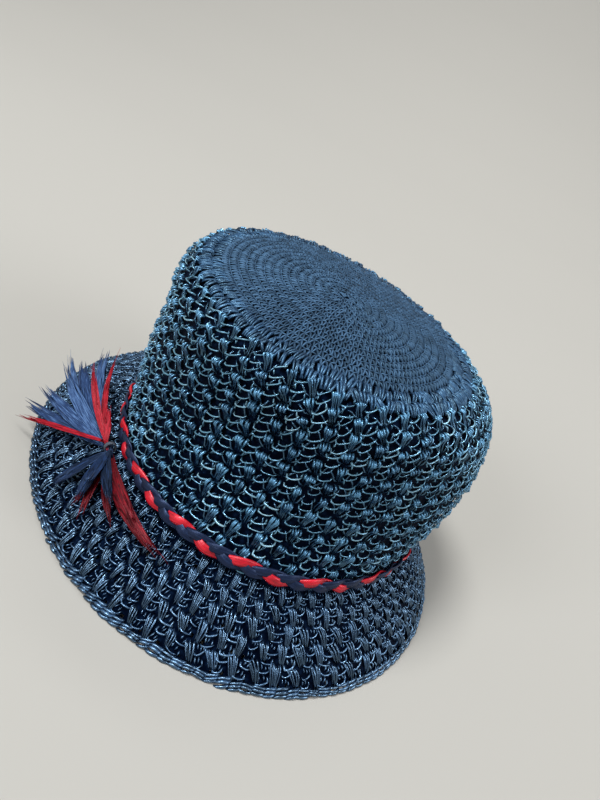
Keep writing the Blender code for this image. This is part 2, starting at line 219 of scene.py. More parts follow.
def raffia_material(name, deep, face, glint, rough=0.34, tint=FILM_TINT, ior=FILM_IOR, tone_and_shade_share=0.25,
                    painted_end_light=0.0):
    """Dyed film whose fibres run along the ribbon, with painted shade at its foot and painted light
    further along it.
    """
    material, tree = bare_material(name)
    ribbon = add_node(tree, "ShaderNodeUVMap", uv_map="ribbon_cm")
    tone = add_node(tree, "ShaderNodeAttribute", attribute_name="tone")
    stretch = add_node(tree, "ShaderNodeMapping", {
        "Vector": ribbon.outputs["UV"],
        "Scale": (FIBRE_LINES_PER_CM, FIBRE_RUN_PER_CM, 1.0),
    })
    fibres_and_sheen = add_node(tree, "ShaderNodeTexNoise", {
        "Vector": stretch.outputs["Vector"], "Scale": 1.0, "Detail": 3.0, "Roughness": 0.6,
    })
    crumple = add_node(tree, "ShaderNodeTexNoise", {
        "Vector": ribbon.outputs["UV"], "Scale": 7.0, "Detail": 2.0,
    })
    lift = add_node(tree, "ShaderNodeMath", {
        0: tone.outputs["Fac"], 1: tone_and_shade_share,
    }, operation="MULTIPLY")
    toned = add_node(tree, "ShaderNodeMath", {
        0: fibres_and_sheen.outputs["Fac"], 1: lift.outputs["Value"],
    }, operation="ADD")
    along = add_node(tree, "ShaderNodeSeparateXYZ", {"Vector": ribbon.outputs["UV"]})
    # Painted shade at the foot of the ribbon, painted light further along it.
    painted_light_and_shade = add_node(tree, "ShaderNodeMapRange", {
        "Value": along.outputs["Y"], "From Min": PAINTED_LIGHT_START_CM, "From Max": PAINTED_LIGHT_END_CM,
        "To Min": -FOOT_SHADE * painted_end_light, "To Max": painted_end_light,
    })
    mixed = add_node(tree, "ShaderNodeMath", {
        0: toned.outputs["Value"], 1: painted_light_and_shade.outputs["Result"],
    }, operation="ADD")
    # The ramp's top colour, glint, is a painted highlight colour.
    colour = add_node(tree, "ShaderNodeValToRGB", {"Fac": mixed.outputs["Value"]})
    ramp = colour.color_ramp
    ramp.elements[0].position = 0.30
    ramp.elements[0].color = linear(deep)
    ramp.elements[1].position = 0.85
    ramp.elements[1].color = linear(glint)
    middle = ramp.elements.new(0.55)
    middle.color = linear(face)
    gloss = add_node(tree, "ShaderNodeMapRange", {
        "Value": crumple.outputs["Fac"], "From Min": 0.3, "From Max": 0.7,
        "To Min": rough - 0.08, "To Max": rough + 0.12,
    })
    relief = add_node(tree, "ShaderNodeMath", {
        0: fibres_and_sheen.outputs["Fac"], 1: crumple.outputs["Fac"],
    }, operation="ADD")
    bump = add_node(tree, "ShaderNodeBump", {
        "Height": relief.outputs["Value"], "Strength": 0.6, "Distance": 0.25 * MM,
    })
    shader = add_node(tree, "ShaderNodeBsdfPrincipled", {
        "Base Color": colour.outputs["Color"],
        "Roughness": gloss.outputs["Result"],
        "Normal": bump.outputs["Normal"],
        "IOR": ior,
        "Specular IOR Level": 1.0,
        "Specular Tint": linear(tint),
    })
    add_node(tree, "ShaderNodeOutputMaterial", {"Surface": shader.outputs["BSDF"]})
    return material


ROUND_TWIST = ((-0.5, 0.0), (0.0, -0.5), (0.5, 0.0), (0.0, 0.5))
THREE_SIDED = ((-0.5, -0.2), (0.5, -0.2), (0.0, 0.6))


def add_strip(parts, path, widths, depths, section=ROUND_TWIST, lift=(0.0, 0.0, 1.0)):
    """Append one closed strip of ribbon along a path to (vertices, faces, uvs per corner).

    Each strip starts at another place of the fibre pattern, so that no two look alike.
    """
    vertices, faces, uvs = parts
    base = len(vertices)
    count = len(section)
    lift = Vector(lift)
    points = [Vector(p) for p in path]
    run = [0.0]
    for a, b in zip(points, points[1:]):
        run.append(run[-1] + (b - a).length)
    offset = 0.37 * (base % 29)
    for i, point in enumerate(points):
        ahead = (points[min(i + 1, len(points) - 1)] - points[max(i - 1, 0)]).normalized()
        across = ahead.cross(lift).normalized()
        out = across.cross(ahead).normalized()
        for a, b in section:
            vertices.append(point + across * widths[i] * a + out * depths[i] * b)
    rim = [0.0]
    for k in range(count):
        a, b = section[k], section[(k + 1) % count]
        rim.append(rim[-1] + math.hypot((b[0] - a[0]) * max(widths), (b[1] - a[1]) * max(depths)))
    for i in range(len(points) - 1):
        for k in range(count):
            j = (k + 1) % count
            lower, upper = base + i * count, base + (i + 1) * count
            faces.append((lower + k, upper + k, upper + j, lower + j))
            u0, u1 = rim[k] / 10.0 + offset, rim[k + 1] / 10.0 + offset
            v0, v1 = run[i] / 10.0, run[i + 1] / 10.0
            uvs.append([(u0, v0), (u0, v1), (u1, v1), (u1, v0)])
    top = base + (len(points) - 1) * count
    faces.append(tuple(base + k for k in range(count)))
    faces.append(tuple(top + k for k in reversed(range(count))))
    uvs.append([(offset, 0.0)] * count)
    uvs.append([(offset, run[-1] / 10.0)] * count)


def strip_mesh(name, parts, scale=MM):
    """Make a mesh of appended strips, drawn in millimetres, with its ribbon UV map."""
    vertices, faces, uvs = parts
    mesh = bpy.data.meshes.new(name)
    mesh.from_pydata([v * scale for v in vertices], [], faces)
    layer = mesh.uv_layers.new(name="ribbon_cm")
    corner = 0
    for face_uvs in uvs:
        for uv in face_uvs:
            layer.data[corner].uv = uv
            corner += 1
    mesh.shade_smooth()
    return mesh


def stitch_tree():
    """Node tree that works one stitch at each vertex of a guide and joins them all."""
    tree = bpy.data.node_groups.new("rounds_of_stitches", "GeometryNodeTree")
    sockets = (
        ("Guide", "NodeSocketGeometry"), ("Stitches", "NodeSocketCollection"),
        ("Turn spread", "NodeSocketFloat"), ("Size spread", "NodeSocketFloat"),
        ("Seed", "NodeSocketInt"), ("Raffia", "NodeSocketMaterial"),
    )
    for name, kind in sockets:
        tree.interface.new_socket(name, in_out="INPUT", socket_type=kind)
    tree.interface.new_socket("Work", in_out="OUTPUT", socket_type="NodeSocketGeometry")
    given = tree.nodes.new("NodeGroupInput").outputs
    out, up, size = (
        add_node(tree, "GeometryNodeInputNamedAttribute", {"Name": label}, data_type="FLOAT_VECTOR")
        for label in ("out", "up", "size")
    )
    facing = add_node(tree, "FunctionNodeAxesToRotation", {
        "Primary Axis": out.outputs["Attribute"], "Secondary Axis": up.outputs["Attribute"],
    }, primary_axis="Z", secondary_axis="Y")
    least = add_node(tree, "ShaderNodeMath", {0: given["Turn spread"], 1: -1.0}, operation="MULTIPLY")
    turn = add_node(tree, "FunctionNodeRandomValue", {
        2: least.outputs[0], 3: given["Turn spread"], "Seed": given["Seed"],
    }, data_type="FLOAT")
    spin = add_node(tree, "FunctionNodeAxisAngleToRotation", {
        "Axis": (0.0, 0.0, 1.0), "Angle": turn.outputs[1],
    })
    turned = add_node(tree, "FunctionNodeRotateRotation", {
        0: facing.outputs[0], 1: spin.outputs[0],
    }, rotation_space="LOCAL")
    smallest = add_node(tree, "ShaderNodeMath", {0: 1.0, 1: given["Size spread"]}, operation="SUBTRACT")
    largest = add_node(tree, "ShaderNodeMath", {0: 1.0, 1: given["Size spread"]}, operation="ADD")
    later = add_node(tree, "ShaderNodeMath", {0: given["Seed"], 1: 11.0}, operation="ADD")
    growth = add_node(tree, "FunctionNodeRandomValue", {
        0: smallest.outputs[0], 1: largest.outputs[0], "Seed": later.outputs[0],
    }, data_type="FLOAT_VECTOR")
    scale = add_node(tree, "ShaderNodeVectorMath", {
        0: size.outputs["Attribute"], 1: growth.outputs[0],
    }, operation="MULTIPLY")
    kinds = add_node(tree, "GeometryNodeCollectionInfo", {
        "Collection": given["Stitches"], "Separate Children": True, "Reset Children": True,
    })
    choice = add_node(tree, "FunctionNodeRandomValue", {
        4: 0, 5: 97, "Seed": given["Seed"],
    }, data_type="INT")
    work = add_node(tree, "GeometryNodeInstanceOnPoints", {
        "Points": given["Guide"], "Instance": kinds.outputs[0], "Pick Instance": True,
        "Instance Index": choice.outputs[2], "Rotation": turned.outputs[0],
        "Scale": scale.outputs[0],
    })
    shade = add_node(tree, "FunctionNodeRandomValue", {
        2: -0.5, 3: 0.5, "Seed": later.outputs[0],
    }, data_type="FLOAT")
    toned = add_node(tree, "GeometryNodeStoreNamedAttribute", {
        "Geometry": work.outputs[0], "Name": "tone", "Value": shade.outputs[1],
    }, data_type="FLOAT", domain="INSTANCE")
    joined = add_node(tree, "GeometryNodeRealizeInstances", {"Geometry": toned.outputs[0]})
    dressed = add_node(tree, "GeometryNodeSetMaterial", {
        "Geometry": joined.outputs[0], "Material": given["Raffia"],
    })
    add_node(tree, "NodeGroupOutput", {0: dressed.outputs[0]})
    return tree


STITCH_TREE = stitch_tree()


def set_inputs(modifier, values):
    """Set a node modifier's inputs through the identifiers of their sockets."""
    for item in modifier.node_group.interface.items_tree:
        if item.in_out == "INPUT" and item.name in values:
            modifier[item.identifier] = values[item.name]


def plain_mesh(item):
    """The evaluated object as a mesh of its own, with every instance realized."""
    depsgraph = bpy.context.evaluated_depsgraph_get()
    return bpy.data.meshes.new_from_object(item.evaluated_get(depsgraph), depsgraph=depsgraph)


def work_rounds(name, places, stitches, material, seed, turn=3.0, spread=0.06):
    """Work the given stitches at all places and keep the result as one plain object.

    A place is (point, out, up, size), where size scales a stitch along, up and out.
    """
    guide_mesh = bpy.data.meshes.new(name + "_guide")
    guide_mesh.from_pydata([place[0] for place in places], [], [])
    for column, label in ((1, "out"), (2, "up"), (3, "size")):
        layer = guide_mesh.attributes.new(label, "FLOAT_VECTOR", "POINT")
        layer.data.foreach_set("vector", [c for place in places for c in place[column]])
    guide = add_object(name + "_guide", guide_mesh)
    kinds = bpy.data.collections.new(name + "_stitches")
    bpy.context.scene.collection.children.link(kinds)
    kept = []
    for i, mesh in enumerate(stitches):
        stitch = bpy.data.objects.new("%s_stitch_%02d" % (name, i), mesh)
        kinds.objects.link(stitch)
        kept.append(stitch)
    modifier = guide.modifiers.new("rounds", "NODES")
    modifier.node_group = STITCH_TREE
    set_inputs(modifier, {
        "Stitches": kinds, "Turn spread": math.radians(turn), "Size spread": spread,
        "Seed": seed, "Raffia": material,
    })
    mesh = plain_mesh(guide)
    mesh.name = name
    piece = add_object(name, mesh)
    bpy.data.objects.remove(guide)
    for stitch in kept:
        bpy.data.objects.remove(stitch)
    bpy.data.collections.remove(kinds)
    return piece


# Plain stitches of the top: each is a V of two ribbon legs with a short bar over its mouth,
# 2.6 mm wide and 4.6 mm tall, packed tightly in one spiral out to where the shoulder begins.
TOP_ROUND = 4.6
TOP_STITCH = 2.6
TOP_END = 69.0 * MM
TOP_NAVY = {"deep": "0e1826", "face": "22364c", "glint": "405c78"}


def plain_stitch(seed):
    draw = random.Random(seed)
    parts = ([], [], [])
    for side in (-1.0, 1.0):
        wobble = draw.uniform(-0.15, 0.15)
        reach = draw.uniform(1.0, 1.35)
        path = [
            (side * 0.10, -2.7, -0.5), (side * 0.30 + wobble, -1.4, 0.35),
            (side * 0.70 + wobble, 0.2, 0.75), (side * reach, 1.7, 0.45), (side * reach, 2.6, -0.5),
        ]
        add_strip(parts, path, [0.9, 1.25, 1.4, 1.3, 0.9], [0.6, 0.8, 0.9, 0.8, 0.6], THREE_SIDED)
    tilt = draw.uniform(-0.3, 0.5)
    bar = [(-1.4, 2.0 - tilt, -0.1), (-0.5, 2.1, 0.65), (0.6, 2.2, 0.65), (1.4, 2.2 + tilt, -0.1)]
    add_strip(parts, bar, [0.7, 0.9, 0.9, 0.7], [0.6, 0.8, 0.8, 0.6], THREE_SIDED)
    return strip_mesh("plain_stitch", parts)


def spiral_places(end):
    places = []
    turn = 0.6 * 2.0 * math.pi
    pitch = TOP_ROUND * MM
    while True:
        length = pitch * turn / (2.0 * math.pi)
        if length > end:
            return places
        point, out, up, per_radian = frame_at(crown_at, length, -turn)
        places.append((point, out, up, (1.0, 1.0, 1.0)))
        turn += TOP_STITCH * MM / max(per_radian, 3.0 * MM)


# Crumpled into tight stitches, the film scatters its gloss, so the top is the dullest part.
navy_top = raffia_material("viscose_raffia_navy_plain_stitch", rough=0.52, ior=1.42, **TOP_NAVY)
crown_top = work_rounds(
    "crown_top", spiral_places(TOP_END), [plain_stitch(seed) for seed in range(6)],
    navy_top, seed=3, turn=16.0, spread=0.12,
)
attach(crown_top, "root")
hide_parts("crown")

# The edge of the top: two rounds of longer stitches, 6 mm each, whose ribbon lies open in
# streaks and catches the light as it turns over the shoulder.
TALL_END = 79.0 * MM
TALL_STITCH = 3.6
TALL_HEIGHT = 9.0
TALL_RADIUS = 74.0
TALL_NAVY = {"deep": "0a1524", "face": "1a3049", "glint": "446a8e"}


def tall_stitch(seed):
    draw = random.Random(seed)
    parts = ([], [], [])
    for i in range(3):
        x = (i - 1.0) * 1.15
        lean = draw.uniform(-1.3, 1.3)
        high = draw.uniform(-0.4, 0.5)
        path = [
            (x * 0.7, -5.4, -0.8), (x * 0.8 + lean * 0.3, -3.4, 0.2 + high),
            (x + lean * 0.6, -0.6, 0.7 + high), (x + lean, 2.4, 0.8 + high),
            (x * 1.1 + lean, 4.6, 0.5), (x * 1.1, 5.6, -0.6),
        ]
        widths, depths = [0.8, 1.2, 1.5, 1.6, 1.4, 0.8], [0.6, 0.8, 0.9, 0.9, 0.8, 0.6]
        add_strip(parts, path, widths, depths, THREE_SIDED)
    return strip_mesh("tall_stitch", parts)


def round_places(surface, start, end, rounds, count, pitch, height, shift=0.0, lean=0.0, wander=0.0,
                 sink=0.0, last_sink=None, seed=0):
    """Places of a stitch on evenly spaced rounds, each stitch stretched to fill its place.

    Pitch, height and wander are in millimetres. Sink lowers the work into the surface.
    """
    draw = random.Random(seed)
    places = []
    step = (end - start) / rounds
    for j in range(rounds):
        length = between(start, end, (j + 0.5) / rounds)
        depth = last_sink if last_sink is not None and j == rounds - 1 else sink
        for i in range(count):
            off = draw.uniform(-wander, wander) / pitch
            angle = 2.0 * math.pi * (i + shift + lean * j + off) / count
            rise = draw.uniform(-wander, wander) * MM
            point, out, up, per_radian = frame_at(surface, length + rise, angle)
            around = per_radian * 2.0 * math.pi / count / (pitch * MM)
            upper, lower = surface(length - step / 2.0, angle), surface(length + step / 2.0, angle)
            along = (lower - upper).length / (height * MM)
            places.append((point - out * depth, out, up, (around, along, 1.0)))
    return places


TALL_COUNT = round(2.0 * math.pi * TALL_RADIUS / TALL_STITCH)
# The ribbon lies more open here than on the top, so it keeps more of its gloss.
navy_tall = raffia_material("viscose_raffia_navy_tall_stitch", rough=0.36, ior=1.6, **TALL_NAVY)
crown_edge = work_rounds(
    "crown_edge",
    round_places(crown_at, TOP_END - 1.5 * MM, TALL_END + 0.5 * MM, 2, TALL_COUNT, TALL_STITCH,
                 TALL_HEIGHT, shift=0.3, lean=0.5, wander=0.7),
    [tall_stitch(seed) for seed in range(6)], navy_tall, seed=5, turn=22.0, spread=0.20,
)
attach(crown_edge, "root")
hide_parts("crown")

# The crown's side: fans of pleated ribbon stand over each other in 50 columns, 11 rounds
# deep. Each is narrow and sunk at its foot, swells outwards and rolls in over its upper edge.
SIDE_FANS = 50
SIDE_ROUNDS = 11
FAN_PITCH = 11.9
FAN_HEIGHT = 9.2
SIDE_LEAN = -0.10
SIDE_NAVY = {"deep": "040b16", "face": "0e243e", "glint": "4e7b98"}
FAN_PATH = (
    # up     spread  out
    (-5.0,   0.60,  -1.9),
    (-2.4,   0.62,  -1.5),
    (0.2,    0.74,  -0.7),
    (2.2,    0.90,   0.6),
    (3.3,    1.00,   1.5),
    (4.3,    1.04,   1.0),
    (4.6,    1.00,  -0.5),
)


def fan_stitch(seed, pleats, reach, path_rows, slant=0.0, width=1.0, side_strands=False):
    """A fan of pleats side by side, each one a thin arched strip of the ribbon.

    Side strands are two more strips, which rise outwards from the foot behind the pleats.
    """
    draw = random.Random(seed)
    parts = ([], [], [])
    for i in range(pleats):
        u = 2.0 * i / (pleats - 1) - 1.0
        taller = 1.0 + draw.uniform(-0.18, 0.10)
        splay = reach + draw.uniform(-0.4, 0.4)
        deeper = draw.uniform(-0.4, 0.3) - 0.3 * u * u
        sway = draw.uniform(-0.35, 0.35)
        path = [
            (u * splay * spread + slant * up / 9.0 + sway * out, up * taller, out + deeper)
            for up, spread, out in path_rows
        ]
        widths = [width * (0.65 + 0.35 * spread) for _, spread, _ in path_rows]
        depths = [0.65] * len(path_rows)
        add_strip(parts, path, widths, depths, THREE_SIDED)
    for side in (-1.0, 1.0) if side_strands else ():
        low = draw.uniform(-4.6, -3.0)
        path = [(side * 0.8, low, -1.6), (side * 2.6, low + draw.uniform(1.0, 2.4), -0.9),
                (side * 4.0, low + draw.uniform(2.8, 4.4), -1.0), (side * 5.2, low + 5.0, -1.7)]
        add_strip(parts, path, [0.9, 1.2, 1.2, 0.9], [0.6, 0.8, 0.8, 0.6], THREE_SIDED)
    return strip_mesh("fan_stitch", parts)


# Each pleat bends the film smoothly into one bright line. The fans have painted light where they roll in
# at the top and painted shade at their foot.
navy_side = raffia_material("viscose_raffia_navy_fans", rough=0.25, painted_end_light=0.28, **SIDE_NAVY)
crown_fans = work_rounds(
    "crown_fans",
    round_places(crown_at, TALL_END, CROWN_LENGTH, SIDE_ROUNDS, SIDE_FANS, FAN_PITCH, FAN_HEIGHT,
                 lean=SIDE_LEAN, wander=0.8, last_sink=1.3 * MM, seed=1),
    [fan_stitch(seed, 5, 1.8, FAN_PATH, width=1.15, side_strands=True) for seed in range(12)],
    navy_side, seed=7, turn=10.0, spread=0.18,
)
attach(crown_fans, "root")
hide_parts("crown")

# Between the fans the ribbon is pulled tight into thin glossy bars, two to each round, with a
# hook at the left end where they come out of the hole, and short upright legs beside them.
BAR_LEVELS = (0.9, -3.9)
# The bars' colours are a paler copy of the navy: painted highlight.
BAR_NAVY_PAINTED_HIGHLIGHT = {"deep": "16303f", "face": "507687", "glint": "b8d6dc"}


def bar_stitch(seed, levels=BAR_LEVELS, legs=((2.6, 3.0), (-2.5, -1.4)), reach=2.9):
    draw = random.Random(seed)
    parts = ([], [], [])
    for level in levels:
        level += draw.uniform(-0.5, 0.5)
        tilt = draw.uniform(0.2, 1.5)
        sag = draw.uniform(0.3, 0.9)
        hook = draw.uniform(0.2, 1.3)
        left, right = -reach + draw.uniform(-0.7, 0.7), reach + draw.uniform(-0.8, 0.6)
        thick = draw.uniform(0.65, 1.0)
        path = [
            (left, level + hook - 0.4 * tilt, -0.6), (left + 0.35, level - 0.1 - 0.5 * tilt, 0.35),
            (-1.2, level - 0.5 * sag - 0.3 * tilt, 0.8), (0.3, level - 0.4 * sag + 0.1 * tilt, 0.85),
            (right - 1.1, level + 0.1 + 0.5 * tilt, 0.55), (right, level + 0.5 + 0.8 * tilt, -0.5),
        ]
        widths = [thick * w for w in (1.0, 1.1, 0.8, 1.0, 0.8, 0.9)]
        depths = [thick * d for d in (0.9, 0.9, 0.75, 0.9, 0.8, 0.7)]
        add_strip(parts, path, widths, depths)
    for x, y in legs:
        lean = draw.uniform(-0.6, 0.6)
        length = draw.uniform(0.8, 1.4)
        path = [(x, y + length, -0.5), (x + lean * 0.5, y, 0.25), (x + lean, y - length, -0.6)]
        add_strip(parts, path, [0.6, 0.8, 0.6], [0.6, 0.7, 0.6], THREE_SIDED)
    return strip_mesh("bar_stitch", parts)


# Pulled tight, the film is smooth and mirrors the window in thin lines. Its colours are a paler copy of
# the navy, a painted highlight.
navy_bars_painted_highlight = raffia_material("viscose_raffia_navy_bars_painted_highlight", rough=0.22, **BAR_NAVY_PAINTED_HIGHLIGHT)
crown_bars = work_rounds(
    "crown_bars",
    round_places(crown_at, TALL_END, CROWN_LENGTH, SIDE_ROUNDS, SIDE_FANS, FAN_PITCH, FAN_HEIGHT,
                 shift=0.5, lean=SIDE_LEAN, wander=0.6, last_sink=1.2 * MM, seed=2),
    [bar_stitch(seed, reach=3.4) for seed in range(12)], navy_bars_painted_highlight, seed=13, turn=9.0, spread=0.14,
)
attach(crown_bars, "root")
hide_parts("crown")

# The crown's inner face: the wrong side of the same work, a dense layer of flattened loops that closes the
# holes. It is coloured nearly black as painted shade, so the holes read as shadow from outside.
LINER_STEPS = 150
LINER_ROWS = 60
INNER_DEPTH = 1.8 * MM
INNER_WALL = 0.7 * MM


def closed_layer(name, surface, start, end, depth, thickness, rows, steps, pole):
    """A closed thin wall under a surface, from one worked length to another."""
    vertices, faces = [], []
    for skin in (0, 1):
        for j in range(rows + 1):
            length = between(start, end, j / rows)
            for i in range(steps):
                angle = 2.0 * math.pi * i / steps
                point, out, _, _ = frame_at(surface, max(length, 1.0 * MM) if pole else length, angle)
                vertices.append(point - out * (depth + skin * thickness))
    shell = (rows + 1) * steps
    for j in range(rows):
        for i in range(steps):
            k = (i + 1) % steps
            a, b = j * steps + i, j * steps + k
            c, d = a + steps, b + steps
            faces.append((a, c, d, b))
            faces.append((shell + a, shell + b, shell + d, shell + c))
    for i in range(steps):
        k = (i + 1) % steps
        last = rows * steps
        faces.append((last + i, shell + last + i, shell + last + k, last + k))
        if not pole:
            faces.append((i, k, shell + k, shell + i))
    if pole:
        faces.append(tuple(range(steps)))
        faces.append(tuple(shell + i for i in reversed(range(steps))))
    mesh = bpy.data.meshes.new(name)
    mesh.from_pydata(vertices, [], faces)
    mesh.shade_smooth()
    return mesh


def inner_material(name, dark, light, loops_per_m):
    material, tree = bare_material(name)
    place = add_node(tree, "ShaderNodeTexCoord")
    loops = add_node(tree, "ShaderNodeTexVoronoi", {
        "Vector": place.outputs["Object"], "Scale": loops_per_m,
    })
    # Painted shade: near black, darkest between the loops.
    colour = add_node(tree, "ShaderNodeValToRGB", {"Fac": loops.outputs["Distance"]})
    colour.color_ramp.elements[0].color = linear(light)
    colour.color_ramp.elements[1].color = linear(dark)
    colour.color_ramp.elements[1].position = 0.6
    bump = add_node(tree, "ShaderNodeBump", {
        "Height": loops.outputs["Distance"], "Strength": 0.8, "Distance": 0.6 * MM,
    })
    bump.invert = True
    shader = add_node(tree, "ShaderNodeBsdfPrincipled", {
        "Base Color": colour.outputs["Color"], "Normal": bump.outputs["Normal"], "Roughness": 0.8,
        "Specular IOR Level": 0.3, "Specular Tint": linear("1d4a8c"),
    })
    add_node(tree, "ShaderNodeOutputMaterial", {"Surface": shader.outputs["BSDF"]})
    return material


# The loops are matt, and painted nearly black, darkest between them, so the layer stands in for the shade
# seen through a gap.
inner_navy_painted_shade = inner_material("viscose_raffia_navy_wrong_side_painted_shade", "01030a", "081427", 380.0)
crown_inner = add_object("crown_inner", closed_layer(
    "crown_inner", crown_at, 0.0, CROWN_LENGTH, INNER_DEPTH, INNER_WALL, LINER_ROWS, LINER_STEPS, True,
))
crown_inner.data.materials.append(inner_navy_painted_shade)
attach(crown_inner, "root")
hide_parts("crown")

# The brim: the same fans and bars worked outwards in 78 columns, looser and larger towards the
# rim, so that pinholes show beside the foot of each fan.
RIM_RADIUS = 131.5 * MM
BRIM_BELL = 2.5 * MM
BRIM_LEAD = 1.0 * MM
BRIM_ROOT = BRIM_HEIGHT - 0.3 * MM
RIM_OVAL = 0.061
RIM_LONG_AXIS = 125.0
BRIM_FANS = 78
BRIM_ROUNDS = 5
BRIM_LENGTH = 55.0 * MM
EDGE_WIDTH = 4.4 * MM


def brim_at(length, angle):
    """Outer face of the brim, at a length from its root along the slope."""
    down = length / BRIM_LENGTH
    oval_cos, oval_sin, _, _ = stance(0.0)
    root = CROWN_RADIUS * (1.0 + oval_cos * math.cos(2.0 * angle) + oval_sin * math.sin(2.0 * angle))
    rim_oval = RIM_OVAL * math.cos(2.0 * (angle - math.radians(RIM_LONG_AXIS)))
    radius = between(root, RIM_RADIUS * (1.0 + rim_oval), down)
    return Vector((
        CROWN_FOOT_X * (1.0 - down) + radius * math.cos(angle),
        CROWN_FOOT_Y * (1.0 - down) + radius * math.sin(angle),
        (BRIM_ROOT - BRIM_LEAD) * (1.0 - down) + BRIM_BELL * 4.0 * down * (1.0 - down),
    ))


BRIM_NAVY = {"deep": "050a14", "face": "0f1a2c", "glint": "435f7e"}
BRIM_TINT = "9cc4e6"
BRIM_FAN_PITCH = 9.4
BRIM_BAR_PITCH = 10.2
BRIM_START = 1.0 * MM
BRIM_WORK_END = BRIM_LENGTH - EDGE_WIDTH
BRIM_FAN_PATH = (
    # up     spread  out
    (-5.0,   0.50,  -1.2),
    (-3.2,   0.55,   0.1),
    (-0.8,   0.70,   0.8),
    (1.6,    0.90,   0.9),
    (3.6,    1.00,   0.4),
    (4.8,    1.00,  -0.8),
)
# The brim's ribbon is worked flatter than the side's, so fewer of its pleats catch the light, and its fans
# get less painted light at the top and painted shade at the foot.
navy_brim = raffia_material("viscose_raffia_navy_brim", rough=0.27, tint=BRIM_TINT, painted_end_light=0.10,
                            **BRIM_NAVY)
brim_fans = work_rounds(
    "brim_fans",
    round_places(brim_at, BRIM_START, BRIM_WORK_END, BRIM_ROUNDS, BRIM_FANS, BRIM_FAN_PITCH,
                 FAN_HEIGHT, wander=0.8, sink=0.5 * MM, seed=3),
    [fan_stitch(seed + 20, 6, 2.0, BRIM_FAN_PATH, slant=-2.8, width=0.78) for seed in range(12)],
    navy_brim, seed=23, turn=12.0, spread=0.18,
)
BRIM_LEGS = ((-1.6, 3.6), (0.2, 3.2), (1.7, 3.4), (-1.8, -1.8), (0.1, -1.4), (1.8, -2.2))
# The brim's bars get a paler copy of the brim's navy: painted highlight.
brim_bars_painted_highlight = raffia_material("viscose_raffia_navy_brim_bars_painted_highlight", rough=0.25,
                             tint=BRIM_TINT, deep="0e1a2a", face="2c4460", glint="87a4b8")
brim_bars = work_rounds(
    "brim_bars",
    round_places(brim_at, BRIM_START, BRIM_WORK_END, BRIM_ROUNDS, BRIM_FANS, BRIM_BAR_PITCH,
                 FAN_HEIGHT, shift=0.5, wander=0.4, sink=0.7 * MM, seed=4),
    [bar_stitch(seed + 20, legs=BRIM_LEGS) for seed in range(8)],
    brim_bars_painted_highlight, seed=29, turn=20.0, spread=0.20,
)


def holed_patch(seed, hole):
    """A patch of the flattened wrong side with two pinholes near its lower edge."""
    draw = random.Random(seed)
    inner = 1.9 + draw.uniform(-0.2, 0.3)
    xs = (-4.8, -inner - hole, -inner, inner, inner + hole, 4.8)
    low = -4.0 + draw.uniform(0.0, 0.4)
    ys = (-4.7, low, low + hole * 1.1, 0.5, 4.7)
    open_cells = {(1, 1), (3, 1)}
    vertices, faces, index = [], [], {}
    for skin, z in ((0, 0.0), (1, -0.8)):
        for j, y in enumerate(ys):
            for i, x in enumerate(xs):
                index[skin, i, j] = len(vertices)
                vertices.append(Vector((x, y, z)))

    def solid(i, j):
        return 0 <= i < len(xs) - 1 and 0 <= j < len(ys) - 1 and (i, j) not in open_cells

    for j in range(len(ys) - 1):
        for i in range(len(xs) - 1):
            if not solid(i, j):
                continue
            ring = ((i, j), (i + 1, j), (i + 1, j + 1), (i, j + 1))
            faces.append(tuple(index[0, a, b] for a, b in ring))
            faces.append(tuple(index[1, a, b] for a, b in reversed(ring)))
            for (a, b), beside in zip(
                ((0, 1), (1, 2), (2, 3), (3, 0)), ((i, j - 1), (i + 1, j), (i, j + 1), (i - 1, j))
            ):
                if not solid(*beside):
                    (pi, pj), (qi, qj) = ring[a], ring[b]
                    faces.append((index[1, pi, pj], index[1, qi, qj], index[0, qi, qj], index[0, pi, pj]))
    mesh = bpy.data.meshes.new("holed_patch")
    mesh.from_pydata([v * MM for v in vertices], [], faces)
    return mesh


# Under both lies the brim's wrong side, patch by patch with pinholes of four sizes, and at its root a
# narrow closed ring of the same loops, where the brim is worked on from the crown. Both are in the
# near-black painted shade of the crown's inner face.
HOLE_SIZES = (0.6, 1.0, 1.4, 1.7)
BRIM_INNER_DEPTH = 1.5 * MM
BRIM_ROOT_SPAN = (-2.5 * MM, 2.0 * MM)
BRIM_ROOT_ROWS = 3
brim_inner = work_rounds(
    "brim_inner",
    round_places(brim_at, BRIM_START, BRIM_WORK_END + 0.6 * MM, BRIM_ROUNDS, BRIM_FANS,
                 BRIM_FAN_PITCH, FAN_HEIGHT, sink=BRIM_INNER_DEPTH),
    [holed_patch(seed, hole) for seed, hole in enumerate(HOLE_SIZES)],
    inner_navy_painted_shade, seed=31, turn=1.0, spread=0.02,
)
brim_root = add_object("brim_root", closed_layer(
    "brim_root", brim_at, *BRIM_ROOT_SPAN, BRIM_INNER_DEPTH, INNER_WALL, BRIM_ROOT_ROWS,
    LINER_STEPS, False,
))
brim_root.data.materials.append(inner_navy_painted_shade)
for piece in (brim_fans, brim_bars, brim_inner, brim_root):
    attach(piece, "root")
    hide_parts("brim")

# The brim's edge: one last round of tight stitches in the brim's own ribbon, laid along the
# rim like a chain. It ends the work and keeps the rim from fraying.
EDGE_STITCHES = 150
EDGE_PITCH = 5.5
EDGE_HEIGHT = 3.4


